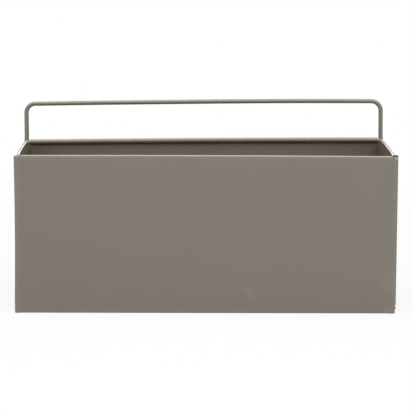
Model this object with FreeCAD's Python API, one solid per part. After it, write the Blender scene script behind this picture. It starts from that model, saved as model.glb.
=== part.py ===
import FreeCAD, Part

import math
import os
from collections import namedtuple

# Wall planter: a folded sheet-steel box that hangs from a bent round rod.
# Millimetres. X is the width, Y the depth with the wall side at +Y, Z is up.
# The origin is the middle of the footprint, on the surface that the base rests on.

# ---- overall sizes -------------------------------------------------------------------
WIDTH = 360.0            # front panel, over its two folded edges
DEPTH = 145.0            # outer face of the front panel to the wall plane
BOX_HEIGHT = 150.0       # resting surface to the top of the hems and the rolled rim
HANGER_RISE = 39.0       # top of the hems to the top of the hanger's bar

# ---- stock ---------------------------------------------------------------------------
SHEET = 0.6              # thickness of every panel
ROD_D = 4.4              # diameter of the hanger's rod

# ---- edges ---------------------------------------------------------------------------
HEM_D = 3.0              # thickness of the open hems on the front and side panels
HEM_RETURN = 7.5         # straight leg of a hem under its round top
ROLL_D = 4.7             # outer diameter of the back panel's rolled rim
ROLL_TURN = 300.0        # degrees that the rolled rim is curled through
ROLL_MITRE = 1.4         # how much shorter the rolled rim is below than above, at each end
CURL_TURN = 290.0        # degrees that a side panel is curled round the hanger's leg
CURL_TOP_DROP = 3.0      # top of that curl, below the top of the hems
CURL_FOOT = 8.0          # foot of that curl, above the resting surface

# ---- folded corner seams at the front -----------------------------------------------
SEAM_D = 2.8             # thickness of the front panel's folded vertical edges
OVERHANG = 5.35          # front panel's edge, past the outer face of a side panel
SIDE_LIP = 3.95          # width of a side panel's outward lip, held in the fold
SEAM_FOOT = 7.8          # foot of the long fold, above the resting surface
SEAM_TOP_DROP = 1.0      # mouth of the fold: front sheet's top, below the hems
LUG_FOOT = 4.2           # lowest point of the short lug of fold under the notch
LUG_TOP = 6.4            # highest point of that lug
NOTCH_DEPTH = 1.3        # how far the notch and the foot stand back from the edge

# ---- bottom --------------------------------------------------------------------------
BASE_RETURN = 8.0        # flange that each wall turns in under the bottom pan
PAN_UPSTAND = 9.0        # height of the pan's turned-up edges, over the flanges
PAN_RELIEF = 1.6         # square opening at each corner of the pan
BACK_LIP = 10.0          # width of the back panel's forward lips, inside the sides
BACK_LIP_CLEAR = 1.0     # room over the pan's upstand and under the rolled rim

# ---- hanger --------------------------------------------------------------------------
HANGER_BEND = 8.0        # centre-line radius of the rod's two bends
LEG_FOOT = 10.0          # foot of each leg, above the resting surface

# ---- bends and clearances ------------------------------------------------------------
BEND_R = 0.6             # inner radius of every sharp bend
SEAM_GAP = 0.05          # between faces that lie on each other
END_GAP = 0.3            # between an edge and what it stops short of

# ---- places that follow --------------------------------------------------------------
HALF_WIDTH = WIDTH / 2
FRONT_Y = -DEPTH / 2
BACK_Y = DEPTH / 2
SIDE_OUT = HALF_WIDTH - OVERHANG             # outer face of a side panel
SIDE_IN = SIDE_OUT - SHEET                   # inner face of a side panel
LEG_X = SIDE_OUT + SEAM_GAP + ROD_D / 2      # axis of a hanger leg
LEG_Y = BACK_Y - SHEET - SEAM_GAP - ROD_D / 2
SEAM_BACK_Y = FRONT_Y + SEAM_D               # rear face of the front panel's fold
LIP_FRONT_Y = FRONT_Y + SHEET + SEAM_GAP     # front face of a side panel's lip
FRONT_HALF = SIDE_IN - END_GAP               # half length of the front panel's hem
BACK_HALF = SIDE_IN - SEAM_GAP               # half width of the back panel
ROLL_HALF = SIDE_IN - END_GAP                # half length of the rolled rim, on top
BEND_MID = BEND_R + SHEET / 2                # centre-line radius of a sharp bend
PAN_Z = SHEET + SEAM_GAP                     # underside of the bottom pan

Run = namedtuple("Run", "length")            # a straight stretch of a section
Bend = namedtuple("Bend", "radius degrees")  # a bend; a left turn is positive

X_AXIS = FreeCAD.Vector(1, 0, 0)
Y_AXIS = FreeCAD.Vector(0, 1, 0)
Z_AXIS = FreeCAD.Vector(0, 0, 1)


def section_edges(start, heading, steps, offset):
    """Walk the steps from start (2D) and return the edges of the line beside them.

    The line lies offset to the left of the section's centre line. Returned as
    ("line", p, q) and ("arc", p, middle, q) in the section's own two axes.
    """
    x, y = start
    angle = math.radians(heading)
    found = []
    for step in steps:
        left = (-math.sin(angle), math.cos(angle))
        p = (x + left[0] * offset, y + left[1] * offset)
        if isinstance(step, Run):
            x += math.cos(angle) * step.length
            y += math.sin(angle) * step.length
            found.append(("line", p, (x + left[0] * offset, y + left[1] * offset)))
            continue
        side = math.copysign(1.0, step.degrees)
        centre = (x + side * left[0] * step.radius, y + side * left[1] * step.radius)
        turned = math.radians(step.degrees)

        def on_arc(share, distance):
            swing = angle - side * math.pi / 2 + turned * share
            return (centre[0] + math.cos(swing) * distance,
                    centre[1] + math.sin(swing) * distance)

        beside = step.radius - side * offset
        found.append(("arc", p, on_arc(0.5, beside), on_arc(1.0, beside)))
        x, y = on_arc(1.0, step.radius)
        angle += turned
    return found


def reverse_edges(edges):
    """The same edges, walked from the far end back."""
    return [(edge[0],) + tuple(reversed(edge[1:])) for edge in reversed(edges)]


def sheet_strip(start, heading, steps, across, up, along, low, high):
    """A bent strip of sheet: its section in the plane of across and up, drawn out along.

    The section's centre line starts at start with heading in degrees from across
    towards up. The strip reaches from low to high on the axis named by along.
    """
    left = section_edges(start, heading, steps, SHEET / 2)
    right = section_edges(start, heading, steps, -SHEET / 2)
    outline = left + [("line", left[-1][-1], right[-1][-1])]
    outline += reverse_edges(right) + [("line", right[0][1], left[0][1])]

    def place(point):
        return across * point[0] + up * point[1] + along * low

    edges = []
    for edge in outline:
        points = [place(p) for p in edge[1:]]
        shape = Part.LineSegment(*points) if edge[0] == "line" else Part.Arc(*points)
        edges.append(shape.toShape())
    face = Part.Face(Part.Wire(edges))
    return face.extrude(along * (high - low))


def block(low, high):
    """A plain block between two corners."""
    size = [b - a for a, b in zip(low, high)]
    return Part.makeBox(*size, FreeCAD.Vector(*low))


def wedge(points, along, length):
    """A straight prism on a closed outline of 3D points."""
    return Part.Face(Part.makePolygon(points + points[:1])).extrude(along * length)


def joined(shapes):
    """One solid from overlapping or touching shapes, with seams between flush faces removed."""
    return shapes[0].multiFuse(shapes[1:]).removeSplitter().Solids[0]


def mirrored_in_x(shape):
    """The left-hand twin of a right-hand shape."""
    return shape.mirror(FreeCAD.Vector(0, 0, 0), X_AXIS)


def base_mitres():
    """Cutters that leave the turned-in flanges of two walls a clear 45 degree joint.

    Returns (off the front and back flanges, off the side flanges). Each is the zone of
    the flanges and their bends outside or inside the diagonal from a corner of the box.
    The two cut edges are the end clearance apart.
    """
    reach = BASE_RETURN + 2 * BEND_MID + 1
    height = 1 + SHEET + BEND_R
    corner_x = SIDE_OUT
    corner_y = -FRONT_Y
    across, along = [], []
    for sx in (-1, 1):
        for sy in (-1, 1):
            def at(dx, dy):
                return FreeCAD.Vector(sx * (corner_x - dx), sy * (corner_y - dy), -1)

            shift = END_GAP / math.sqrt(2)       # half of the clearance, along an axis
            outer = [at(shift, 0), at(reach + shift, reach), at(-reach, reach), at(-reach, 0)]
            inner = [at(0, shift), at(reach, reach + shift), at(reach, -reach), at(0, -reach)]
            across.append(wedge(outer, Z_AXIS, height))
            along.append(wedge(inner, Z_AXIS, height))
    return Part.makeCompound(across), Part.makeCompound(along)


def front_panel():
    """Front sheet: hem on top, folded vertical edges, flange turned in below."""
    cut_across, _ = base_mitres()
    web_y = FRONT_Y + SHEET / 2
    hem_mid = (HEM_D - SHEET) / 2
    seam_mid = (SEAM_D - SHEET) / 2
    flange_start = (web_y + BASE_RETURN, SHEET / 2)
    web_rise = BOX_HEIGHT - HEM_D / 2 - SHEET / 2 - BEND_MID

    section = [Run(BASE_RETURN - BEND_MID), Bend(BEND_MID, -90), Run(web_rise),
               Bend(hem_mid, -180), Run(HEM_RETURN)]
    middle = sheet_strip(flange_start, 180, section, Y_AXIS, Z_AXIS, X_AXIS,
                         -FRONT_HALF, FRONT_HALF)
    middle = middle.cut(cut_across)

    mouth_z = BOX_HEIGHT - SEAM_TOP_DROP
    fold = [Run(HALF_WIDTH - SEAM_D / 2 - FRONT_HALF), Bend(seam_mid, 180),
            Run(HALF_WIDTH - SEAM_D / 2 - SIDE_OUT - SEAM_GAP)]
    start = (FRONT_HALF, web_y)
    long_fold = sheet_strip(start, 0, fold, X_AXIS, Y_AXIS, Z_AXIS, SEAM_FOOT, BOX_HEIGHT)
    lug = sheet_strip(start, 0, fold, X_AXIS, Y_AXIS, Z_AXIS, LUG_FOOT, LUG_TOP)
    foot = block((FRONT_HALF, FRONT_Y, 0),
                 (HALF_WIDTH - NOTCH_DEPTH, FRONT_Y + SHEET, mouth_z))

    # The mouth of the fold falls from the rear leg to the lower edge of the front sheet.
    slope = [FreeCAD.Vector(FRONT_HALF, FRONT_Y - 1, mouth_z),
             FreeCAD.Vector(FRONT_HALF, FRONT_Y + SHEET, mouth_z),
             FreeCAD.Vector(FRONT_HALF, SEAM_BACK_Y - SHEET, BOX_HEIGHT),
             FreeCAD.Vector(FRONT_HALF, FRONT_Y - 1, BOX_HEIGHT + 1)]
    long_fold = long_fold.cut(wedge(slope, X_AXIS, OVERHANG * 2))

    pieces = [middle]
    for edge in (long_fold, lug, foot):
        pieces += [edge, mirrored_in_x(edge)]
    return joined(pieces)


def side_panel():
    """Right-hand side sheet: hem on top, lip in the front seam, curl round the leg."""
    _, cut_along = base_mitres()
    web_x = SIDE_IN + SHEET / 2
    hem_mid = (HEM_D - SHEET) / 2
    curl_mid = ROD_D / 2 + SEAM_GAP + SHEET / 2
    hem_front = SEAM_BACK_Y + END_GAP
    hem_back = LEG_Y - curl_mid - SHEET / 2 - END_GAP
    curl_top = BOX_HEIGHT - CURL_TOP_DROP
    web_rise = BOX_HEIGHT - HEM_D / 2 - SHEET / 2 - BEND_MID

    hemmed = [Run(BASE_RETURN - BEND_MID), Bend(BEND_MID, 90), Run(web_rise),
              Bend(hem_mid, -180), Run(HEM_RETURN)]
    upright = sheet_strip((web_x - BASE_RETURN, SHEET / 2), 0, hemmed, X_AXIS, Z_AXIS,
                          -Y_AXIS, -hem_back, -hem_front)

    lip_y = LIP_FRONT_Y + SHEET / 2
    plan = [Run(SIDE_LIP - BEND_MID), Bend(BEND_MID, -90), Run(LEG_Y - lip_y - BEND_MID),
            Bend(curl_mid, -CURL_TURN)]
    wrapped = sheet_strip((web_x + SIDE_LIP, lip_y), 180, plan, X_AXIS, Y_AXIS, Z_AXIS,
                          CURL_FOOT, curl_top)
    lip = sheet_strip((web_x + SIDE_LIP, lip_y), 180, plan[:3], X_AXIS, Y_AXIS, Z_AXIS,
                      LUG_FOOT, CURL_FOOT)

    # Plain sheet beyond both ends of the hem, up to its height, and of the base flange.
    front_end = block((SIDE_IN, lip_y + BEND_MID, SHEET + BEND_R),
                      (SIDE_OUT, hem_front, BOX_HEIGHT - SEAM_TOP_DROP))
    back_end = block((SIDE_IN, hem_back, SHEET + BEND_R),
                     (SIDE_OUT, LEG_Y, BOX_HEIGHT - SEAM_TOP_DROP))
    flange = [Run(BASE_RETURN - BEND_MID), Bend(BEND_MID, 90), Run(BEND_R)]
    foot = sheet_strip((web_x - BASE_RETURN, SHEET / 2), 0, flange, X_AXIS, Z_AXIS,
                       -Y_AXIS, -BACK_Y, -(lip_y + BEND_MID))
    heel = block((SIDE_IN, LEG_Y, SHEET + BEND_R), (SIDE_OUT, BACK_Y, CURL_FOOT - END_GAP))
    parts = [upright, wrapped, lip, front_end, back_end, foot, heel]
    return joined(parts).cut(cut_along).Solids[0]


def back_panel():
    """Back sheet: rolled rim on top, lips forward inside the sides, flange turned in below."""
    cut_across, _ = base_mitres()
    web_y = BACK_Y - SHEET / 2
    roll_mid = (ROLL_D - SHEET) / 2
    web_rise = BOX_HEIGHT - ROLL_D / 2 - SHEET / 2 - BEND_MID
    section = [Run(BASE_RETURN - BEND_MID), Bend(BEND_MID, 90), Run(web_rise),
               Bend(roll_mid, ROLL_TURN)]
    rolled = sheet_strip((web_y - BASE_RETURN, SHEET / 2), 0, section, Y_AXIS, Z_AXIS,
                         X_AXIS, -BACK_HALF, BACK_HALF)
    rolled = rolled.cut(cut_across)

    # The ends of the roll slope in towards its underside.
    under = BOX_HEIGHT - ROLL_D
    inner_y = BACK_Y - SHEET
    tip = [FreeCAD.Vector(ROLL_HALF + 1, 0, BOX_HEIGHT), FreeCAD.Vector(ROLL_HALF, 0, BOX_HEIGHT),
           FreeCAD.Vector(ROLL_HALF - ROLL_MITRE, 0, under),
           FreeCAD.Vector(ROLL_HALF - ROLL_MITRE, 0, under - 1),
           FreeCAD.Vector(ROLL_HALF + 1, 0, under - 1)]
    tip_cut = wedge(tip, Y_AXIS, inner_y)
    rolled = rolled.cut(tip_cut).cut(mirrored_in_x(tip_cut))

    lip_x = BACK_HALF - SHEET / 2
    plan = [Run(BACK_LIP - BEND_MID), Bend(BEND_MID, 90), Run(2 * (lip_x - BEND_MID)),
            Bend(BEND_MID, 90), Run(BACK_LIP - BEND_MID)]
    lip_foot = PAN_Z + PAN_UPSTAND + BACK_LIP_CLEAR
    lips = sheet_strip((lip_x, web_y - BACK_LIP), 90, plan, X_AXIS, Y_AXIS, Z_AXIS,
                       lip_foot, under - BACK_LIP_CLEAR)
    return joined([rolled, lips])


def bottom_pan():
    """Tray that lies on the turned-in flanges, its four edges turned up inside the walls."""
    half_x = SIDE_IN - SEAM_GAP
    half_y = BACK_Y - SHEET - SEAM_GAP

    def tray(across, half_across, along, half_along):
        reach = half_across - SHEET / 2
        rise = Run(PAN_UPSTAND - SHEET / 2 - BEND_MID)
        steps = [rise, Bend(BEND_MID, 90), Run(2 * (reach - BEND_MID)), Bend(BEND_MID, 90), rise]
        start = (-reach, PAN_Z + PAN_UPSTAND)
        end = half_along - PAN_RELIEF
        return sheet_strip(start, -90, steps, across, Z_AXIS, along, -end, end)

    return joined([tray(X_AXIS, half_x, Y_AXIS, half_y), tray(Y_AXIS, half_y, X_AXIS, half_x)])


def hanger_rod():
    """Round rod bent into an upturned U: two legs, two bends and the bar that it hangs by."""
    bar_z = BOX_HEIGHT + HANGER_RISE - ROD_D / 2
    bend_z = bar_z - HANGER_BEND
    bend_x = LEG_X - HANGER_BEND
    foot = FreeCAD.Vector(LEG_X, LEG_Y, LEG_FOOT)
    top = FreeCAD.Vector(LEG_X, LEG_Y, bend_z)
    pivot = FreeCAD.Vector(bend_x, LEG_Y, bend_z)

    leg = Part.makeCylinder(ROD_D / 2, bend_z - LEG_FOOT, foot, Z_AXIS)
    section = Part.Face(Part.Wire([Part.makeCircle(ROD_D / 2, top, Z_AXIS)]))
    bend = section.revolve(pivot, -Y_AXIS, 90)
    bar = Part.makeCylinder(ROD_D / 2, 2 * bend_x, FreeCAD.Vector(-bend_x, LEG_Y, bar_z), X_AXIS)
    return joined([bar, leg, bend, mirrored_in_x(leg), mirrored_in_x(bend)])


def build():
    """Every sub-part by its name."""
    right = side_panel()
    return {
        "front_panel": front_panel(),
        "left_side_panel": mirrored_in_x(right),
        "right_side_panel": right,
        "back_panel": back_panel(),
        "bottom_pan": bottom_pan(),
        "hanger_rod": hanger_rod(),
    }


os.makedirs("parts", exist_ok=True)
for name, shape in build().items():
    if not shape.isValid():
        raise ValueError(name + " is not a valid shape")
    shape.exportStep("parts/" + name + ".step")
    print(name, len(shape.Solids), round(shape.Volume, 1), shape.BoundBox)
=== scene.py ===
"""Looks of a wall planter: a box of folded, powder-coated sheet steel on a bent round rod.

Each sheet piece is made as a metal shop makes it. A flat blank is cut to an outline with square
corners, its edges are folded through runs and bends, and the coat rounds its raw edges. The hanger
is a round section carried along a bent line. All sizes are in metres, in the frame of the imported
model: X is the width, Y the depth with the wall side at +Y, and Z is up from the resting surface.
"""

import logging
import math
from abc import ABC, abstractmethod
from collections.abc import Callable
from dataclasses import dataclass, field, replace
from enum import Enum

import bpy
import numpy as np
from mathutils import Matrix, Vector


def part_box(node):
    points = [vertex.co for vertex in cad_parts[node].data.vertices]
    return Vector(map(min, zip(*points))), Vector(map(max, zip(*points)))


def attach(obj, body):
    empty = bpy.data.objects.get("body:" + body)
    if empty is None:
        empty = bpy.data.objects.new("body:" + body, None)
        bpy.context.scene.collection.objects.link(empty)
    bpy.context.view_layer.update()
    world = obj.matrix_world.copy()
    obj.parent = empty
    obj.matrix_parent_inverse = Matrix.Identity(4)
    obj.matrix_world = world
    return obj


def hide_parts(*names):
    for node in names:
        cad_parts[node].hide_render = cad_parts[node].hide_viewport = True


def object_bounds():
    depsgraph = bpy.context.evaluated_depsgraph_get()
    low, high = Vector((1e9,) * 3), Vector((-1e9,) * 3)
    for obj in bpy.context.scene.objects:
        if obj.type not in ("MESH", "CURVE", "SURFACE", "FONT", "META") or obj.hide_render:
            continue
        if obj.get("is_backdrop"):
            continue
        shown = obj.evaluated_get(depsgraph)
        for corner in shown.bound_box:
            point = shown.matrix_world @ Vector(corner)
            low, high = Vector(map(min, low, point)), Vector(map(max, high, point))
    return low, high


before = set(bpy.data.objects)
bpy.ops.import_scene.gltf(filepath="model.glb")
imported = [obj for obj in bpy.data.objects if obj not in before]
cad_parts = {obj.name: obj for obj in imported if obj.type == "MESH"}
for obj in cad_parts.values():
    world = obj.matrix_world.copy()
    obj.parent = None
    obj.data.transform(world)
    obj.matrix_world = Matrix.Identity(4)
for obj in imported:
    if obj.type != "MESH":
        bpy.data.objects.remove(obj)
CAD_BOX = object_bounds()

LOG = logging.getLogger("wall_planter")

Array = np.ndarray
Pair = tuple[float, float]
Triple = tuple[float, float, float]
Colour = Triple
Plane = tuple[Triple, Triple, Triple, Triple]
Corners = list[Pair]
Bends = list[Triple]

MM = 0.001
BODY = "root"  # the one body that every piece rides on
EXPORT_MAP = "OFBake"  # name of the UV map that the pieces carry
RAW_EDGE = "raw_edge"  # attribute: 1 on a raw edge of the sheet, falling to 0 inside it
BENT = "bent"  # attribute: 1 in a bend, falling to 0 beside it; the coat is lighter there, as wear and as a painted highlight
PAINTED_FOLD_SHADE = "painted_fold_shade"  # attribute: 1 inside a closed fold, where the coat is darkened as painted shade
PAINTED_CORNER_SHADE = "painted_corner_shade"  # attribute: 1 in the box's inside corners, where the coat is darkened as painted shade
CORNER_SHADE_REACH = 30.0 * MM  # how far from an inside corner the painted shade reaches
CORNER_SHADE_FADE = (3 * MM, 14 * MM)  # how far below a wall's top the painted corner shade starts and is full
EDGE_FADE = 2.0  # how far a raw edge's wear and painted highlight reach, in thicknesses of the sheet
SHUT_FADE = 0.4  # how far from an edge the painted shade inside a closed fold takes to set in, in the same
MARK_DEPTH = 0.5 * MM  # how far behind the front face its marks still show
BEND_REACH = 2.6 * MM  # how far from a bend its painted highlight still shows
CLOSED_TURN = math.radians(150)  # turn past which a fold shuts one face of the sheet in
MITRE_REACH = 12 * MM  # how far from a mitred end the sheet is drawn in

# The grid of a blank.
FACET = math.radians(10)  # turn of a bend between two lines
EDGE_ANGLES = np.radians((30.0, 60.0, 90.0))  # lines that round half of a raw edge
HOLD = 1.5  # line that holds the flat sheet flat, in rounding radii
WEB_STEP = 4.0 * MM  # widest gap between lines
CLOSE = 0.02 * MM  # lines nearer than this to their neighbour are dropped

# The map of a piece, whose sides are 1.
MAP_GAP = 0.01  # gap between the sheet's two faces, one over the other
MAP_TUBE = 0.9  # width of the rod's side
MAP_DISC = 0.04  # radius of one of its ends
MAP_ENDS = ((0.05, 0.95), (0.15, 0.95))  # the middles of its ends

# Octaves of the noises in a finish.
PLAIN, CLOUDY, BROKEN = 1.0, 3.0, 4.0

# For each wave of rolled sheet, its turns across and up and its share of the phase.
WAVES = ((1.0, 0.0, 1.0), (-0.71, 1.63, 2.1), (1.19, 2.37, -1.0))


def smooth_step(value: Array, low: float, high: float) -> Array:
    """A rise from 0 at low to 1 at high, level at both ends: 3 t^2 - 2 t^3."""
    share = np.clip((value - low) / (high - low), 0.0, 1.0)
    return share * share * (3.0 - 2.0 * share)


def linked(name: str, data: bpy.types.ID) -> bpy.types.Object:
    """An object for this mesh, light or camera, in the scene and at the origin."""
    made = bpy.data.objects.new(name, data)
    bpy.context.scene.collection.objects.link(made)
    return made


def cells(values: Array, kept: Array | None = None) -> Array:
    """The four corners of each cell of a grid, in turn, from a value at each of its points.

    Args:
        values: the values, over the grid.
        kept: which cells are wanted. All are, if it is left out.

    Returns:
        One row of four corners for each cell.
    """
    if kept is None:
        kept = np.ones(tuple(np.subtract(values.shape[:2], 1)), bool)
    around = (values[:-1, :-1], values[:-1, 1:], values[1:, 1:], values[1:, :-1])
    return np.stack([corner[kept] for corner in around], axis=1)


# ---- bent lines and folded sheet ---------------------------------------------------------


@dataclass(frozen=True)
class Stretch:
    """One stretch of a bent line: a straight run, or a round bend."""

    length: float  # along the line
    turn: float = 0.0  # in radians; a left turn is positive

    @classmethod
    def bend(cls, radius: float, degrees: float) -> "Stretch":
        """A round bend of this radius, turned through these degrees."""
        return cls(radius * math.radians(abs(degrees)), math.radians(degrees))


@dataclass(frozen=True)
class BentLine:
    """A flat line of stretches end to end, each starting in the heading that the last one left."""

    stretches: tuple[Stretch, ...]

    @classmethod
    def bend(cls, radius: float, degrees: float, *legs: float) -> "BentLine":
        """A round bend of this radius and turn, with straight legs after it."""
        return cls((Stretch.bend(radius, degrees), *map(Stretch, legs)))

    def ends(self) -> Array:
        """Lengths along the line at which its stretches begin and end."""
        return np.cumsum([0.0] + [s.length for s in self.stretches])

    def walk(self, along: Array) -> tuple[Array, Array, Array]:
        """Follows the line, which starts at (0, 0) and heads along x.

        A stretch has one curvature k, its turn over its length. A point a length l into it lies
        l * sin(k l / 2) / (k l / 2) from where the stretch starts, in that place's heading plus
        k l / 2, and the heading there has turned by k l.

        Args:
            along: lengths along the line.

        Returns:
            x, y and heading at those lengths.
        """
        lengths = np.array([s.length for s in self.stretches])
        turns = np.array([s.turn for s in self.stretches])
        headings = np.cumsum(turns) - turns
        chords = lengths * np.sinc(turns / math.tau)
        steps_x = chords * np.cos(headings + turns / 2)
        steps_y = chords * np.sin(headings + turns / 2)
        starts_x, starts_y = np.cumsum(steps_x) - steps_x, np.cumsum(steps_y) - steps_y
        starts = self.ends()[:-1]
        which = np.clip(np.searchsorted(starts, along, side="right") - 1, 0, len(starts) - 1)
        into = along - starts[which]
        swing = into * (turns / lengths)[which]
        chord = into * np.sinc(swing / math.tau)
        heading = headings[which]
        x = starts_x[which] + chord * np.cos(heading + swing / 2)
        y = starts_y[which] + chord * np.sin(heading + swing / 2)
        return x, y, heading + swing


class Axis(Enum):
    """The two directions of a flat blank."""

    ACROSS = 0
    UP = 1


@dataclass(frozen=True)
class Fold:
    """One edge of a blank, folded along a crease. A positive turn is towards the blank's normal."""

    axis: Axis  # the direction of the blank that leads over the crease
    side: int  # +1 for the edge at the high end of that axis, -1 for the other
    crease: float  # place of the crease on that axis, where the first stretch begins
    line: BentLine  # the runs and bends that the sheet makes past the crease
    low: float = -math.inf  # the other axis is folded from here
    high: float = math.inf  # to here, and beyond that the sheet stays flat

    def marks(self) -> Array:
        """Places on the fold's axis at which its stretches begin and end."""
        return self.crease + self.side * self.line.ends()

    def bends(self) -> Bends:
        """For each bend, the two places on the fold's axis that it lies between and its turn."""
        ends = self.marks()
        return [(min(a, b), max(a, b), abs(s.turn)) for a, b, s
                in zip(ends[:-1], ends[1:], self.line.stretches) if s.turn]

    def placed(self, across: Array, up: Array) -> tuple[Array, Array]:
        """Coordinates of points on the fold's axis, and whether they lie in its zone."""
        on, other = (across, up) if self.axis is Axis.ACROSS else (up, across)
        return on, (other >= self.low) & (other <= self.high)

    def past(self, across: Array, up: Array) -> Array:
        """How far points of the blank lie past the crease, or 0 where they aren't folded."""
        on, held = self.placed(across, up)
        return np.where(held, np.maximum(self.side * (on - self.crease), 0.0), 0.0)

    def bend_nearness(self, across: Array, up: Array) -> Array:
        """How near points are to a bend: 1 in it, and a bell of the distance outside it."""
        on, held = self.placed(across, up)
        away = np.min([np.maximum(np.maximum(low - on, on - high), 0.0)
                       for low, high, _ in self.bends()], axis=0)
        return np.where(held, np.exp(-(away / BEND_REACH) ** 2), 0.0)

    @property
    def closed(self) -> int:
        """Which face of the sheet ends up inside a fold of about half a turn or more.

        It is +1 for the face that the normal points to, -1 for the other, and 0 for neither.
        """
        turn = sum(s.turn for s in self.line.stretches)
        return int(np.sign(turn)) if abs(turn) > CLOSED_TURN else 0


@dataclass
class Surface:
    """A surface on its way to a mesh. That of a piece is closed."""

    points: Array  # one row for each vertex
    faces: list[Array]  # arrays with a row for each face, facing outwards
    values: dict[str, Array] = field(default_factory=dict)  # named numbers for each vertex
    maps: list[Array] = field(default_factory=list)  # map coordinates of the faces' corners

    def make(self, name: str) -> bpy.types.Object:
        """Puts the surface into a smooth-shaded mesh, whose object sits at the origin.

        Args:
            name: name of the object.

        Returns:
            The object, linked into the scene.
        """
        mesh = bpy.data.meshes.new(name)
        mesh.from_pydata(self.points.tolist(), [], [f for a in self.faces for f in a.tolist()])
        for key, numbers in self.values.items():
            attribute = mesh.attributes.new(key, "FLOAT", "POINT")
            attribute.data.foreach_set("value", numbers.astype(np.float32))
        if self.maps:
            corners = np.concatenate([m.reshape(-1, 2) for m in self.maps])
            layer = mesh.uv_layers.new(name=EXPORT_MAP)
            layer.uv.foreach_set("vector", corners.astype(np.float32).ravel())
        mesh.shade_smooth()
        return linked(name, mesh)


def grid_lines(edges: Array, creases: Array, bends: Bends, rounding: float) -> Array:
    """Places of the grid's lines along one axis of a blank.

    Edges and creases are lines. On both sides of an edge lie lines at r (1 - cos t), for its
    rounding, and one more that holds the sheet flat; a crease has only that one. A bend has a
    line for each facet of its turn, and what is left is divided evenly.

    Args:
        edges: where the outline has corners.
        creases: where the folds' stretches end.
        bends: for each bend the two places it lies between and its turn.
        rounding: radius r of a raw edge.

    Returns:
        The places in rising order.
    """
    edges, marks = np.unique(edges.round(8)), np.unique(np.append(edges, creases).round(8))
    hold = HOLD * rounding
    beside = np.append(rounding * (1 - np.cos(EDGE_ANGLES)), hold)
    loose = [(edges[:, None] + np.append(-beside, beside)).ravel(), marks - hold, marks + hold]
    loose += [np.linspace(a, b, math.ceil(turn / FACET) + 1) for a, b, turn in bends]
    loose += [np.linspace(a, b, math.ceil((b - a) / WEB_STEP) + 1)
              for a, b in zip(marks[:-1], marks[1:]) if b - a > WEB_STEP]
    lines = np.unique(np.concatenate(loose))
    lines = lines[(lines > marks[0]) & (lines < marks[-1])]
    lines = lines[np.abs(lines[:, None] - marks).min(axis=1) > CLOSE]
    lines = lines[np.diff(lines, prepend=-math.inf) > CLOSE]
    return np.sort(np.append(marks, lines))


def inside_outline(outline: Array, across: Array, up: Array) -> Array:
    """Which points lie inside an outline of square corners.

    A point is inside if a line from it towards +across meets an odd number of upright sides.
    """
    ends = np.roll(outline, -1, axis=0)
    low, high = np.minimum(outline[:, 1], ends[:, 1]), np.maximum(outline[:, 1], ends[:, 1])
    meets = (across[..., None] < outline[:, 0]) & (up[..., None] > low) & (up[..., None] < high)
    return meets.sum(axis=-1) % 2 == 1


def depth_inside(outline: Array, across: Array, up: Array) -> Array:
    """How far points lie from the nearest side of an outline of square corners."""
    ends = np.roll(outline, -1, axis=0)
    low, high = np.minimum(outline, ends), np.maximum(outline, ends)
    beyond = [np.maximum(np.maximum(low[:, i] - place, place - high[:, i]), 0.0)
              for i, place in enumerate((across[..., None], up[..., None]))]
    return np.hypot(*beyond).min(axis=-1)


def stepped(across: float, up: float, *moves: float) -> Corners:
    """Corners of an outline that starts at (across, up), and moves up and across by turns.

    Args:
        across, up: the first corner.
        moves: where each move goes to: up to the first, across to the second, and so on.

    Returns:
        The corners in turn.
    """
    corners = [(across, up)]
    for i, place in enumerate(moves):
        across, up = (place, up) if i % 2 else (across, place)
        corners.append((across, up))
    return corners


def mirrored(corners: Corners) -> Corners:
    """The corners on the other side of the middle, in the order that goes on round an outline."""
    return [(-a, b) for a, b in reversed(corners)]


def pulled_in(place: Array, limit: Array, edge: float) -> Array:
    """Moves the ends of rows of points in to a limit, and what is near them in proportion.

    Args:
        place: places along the row, on both sides of 0.
        limit: where the end of each row comes to lie.
        edge: where the ends of the rows lie now.

    Returns:
        The new places.
    """
    share = np.clip((np.abs(place) - edge + MITRE_REACH) / MITRE_REACH, 0.0, None)
    return place - np.sign(place) * np.maximum(edge - limit, 0.0) * share


# ---- sizes -------------------------------------------------------------------------------


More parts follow.
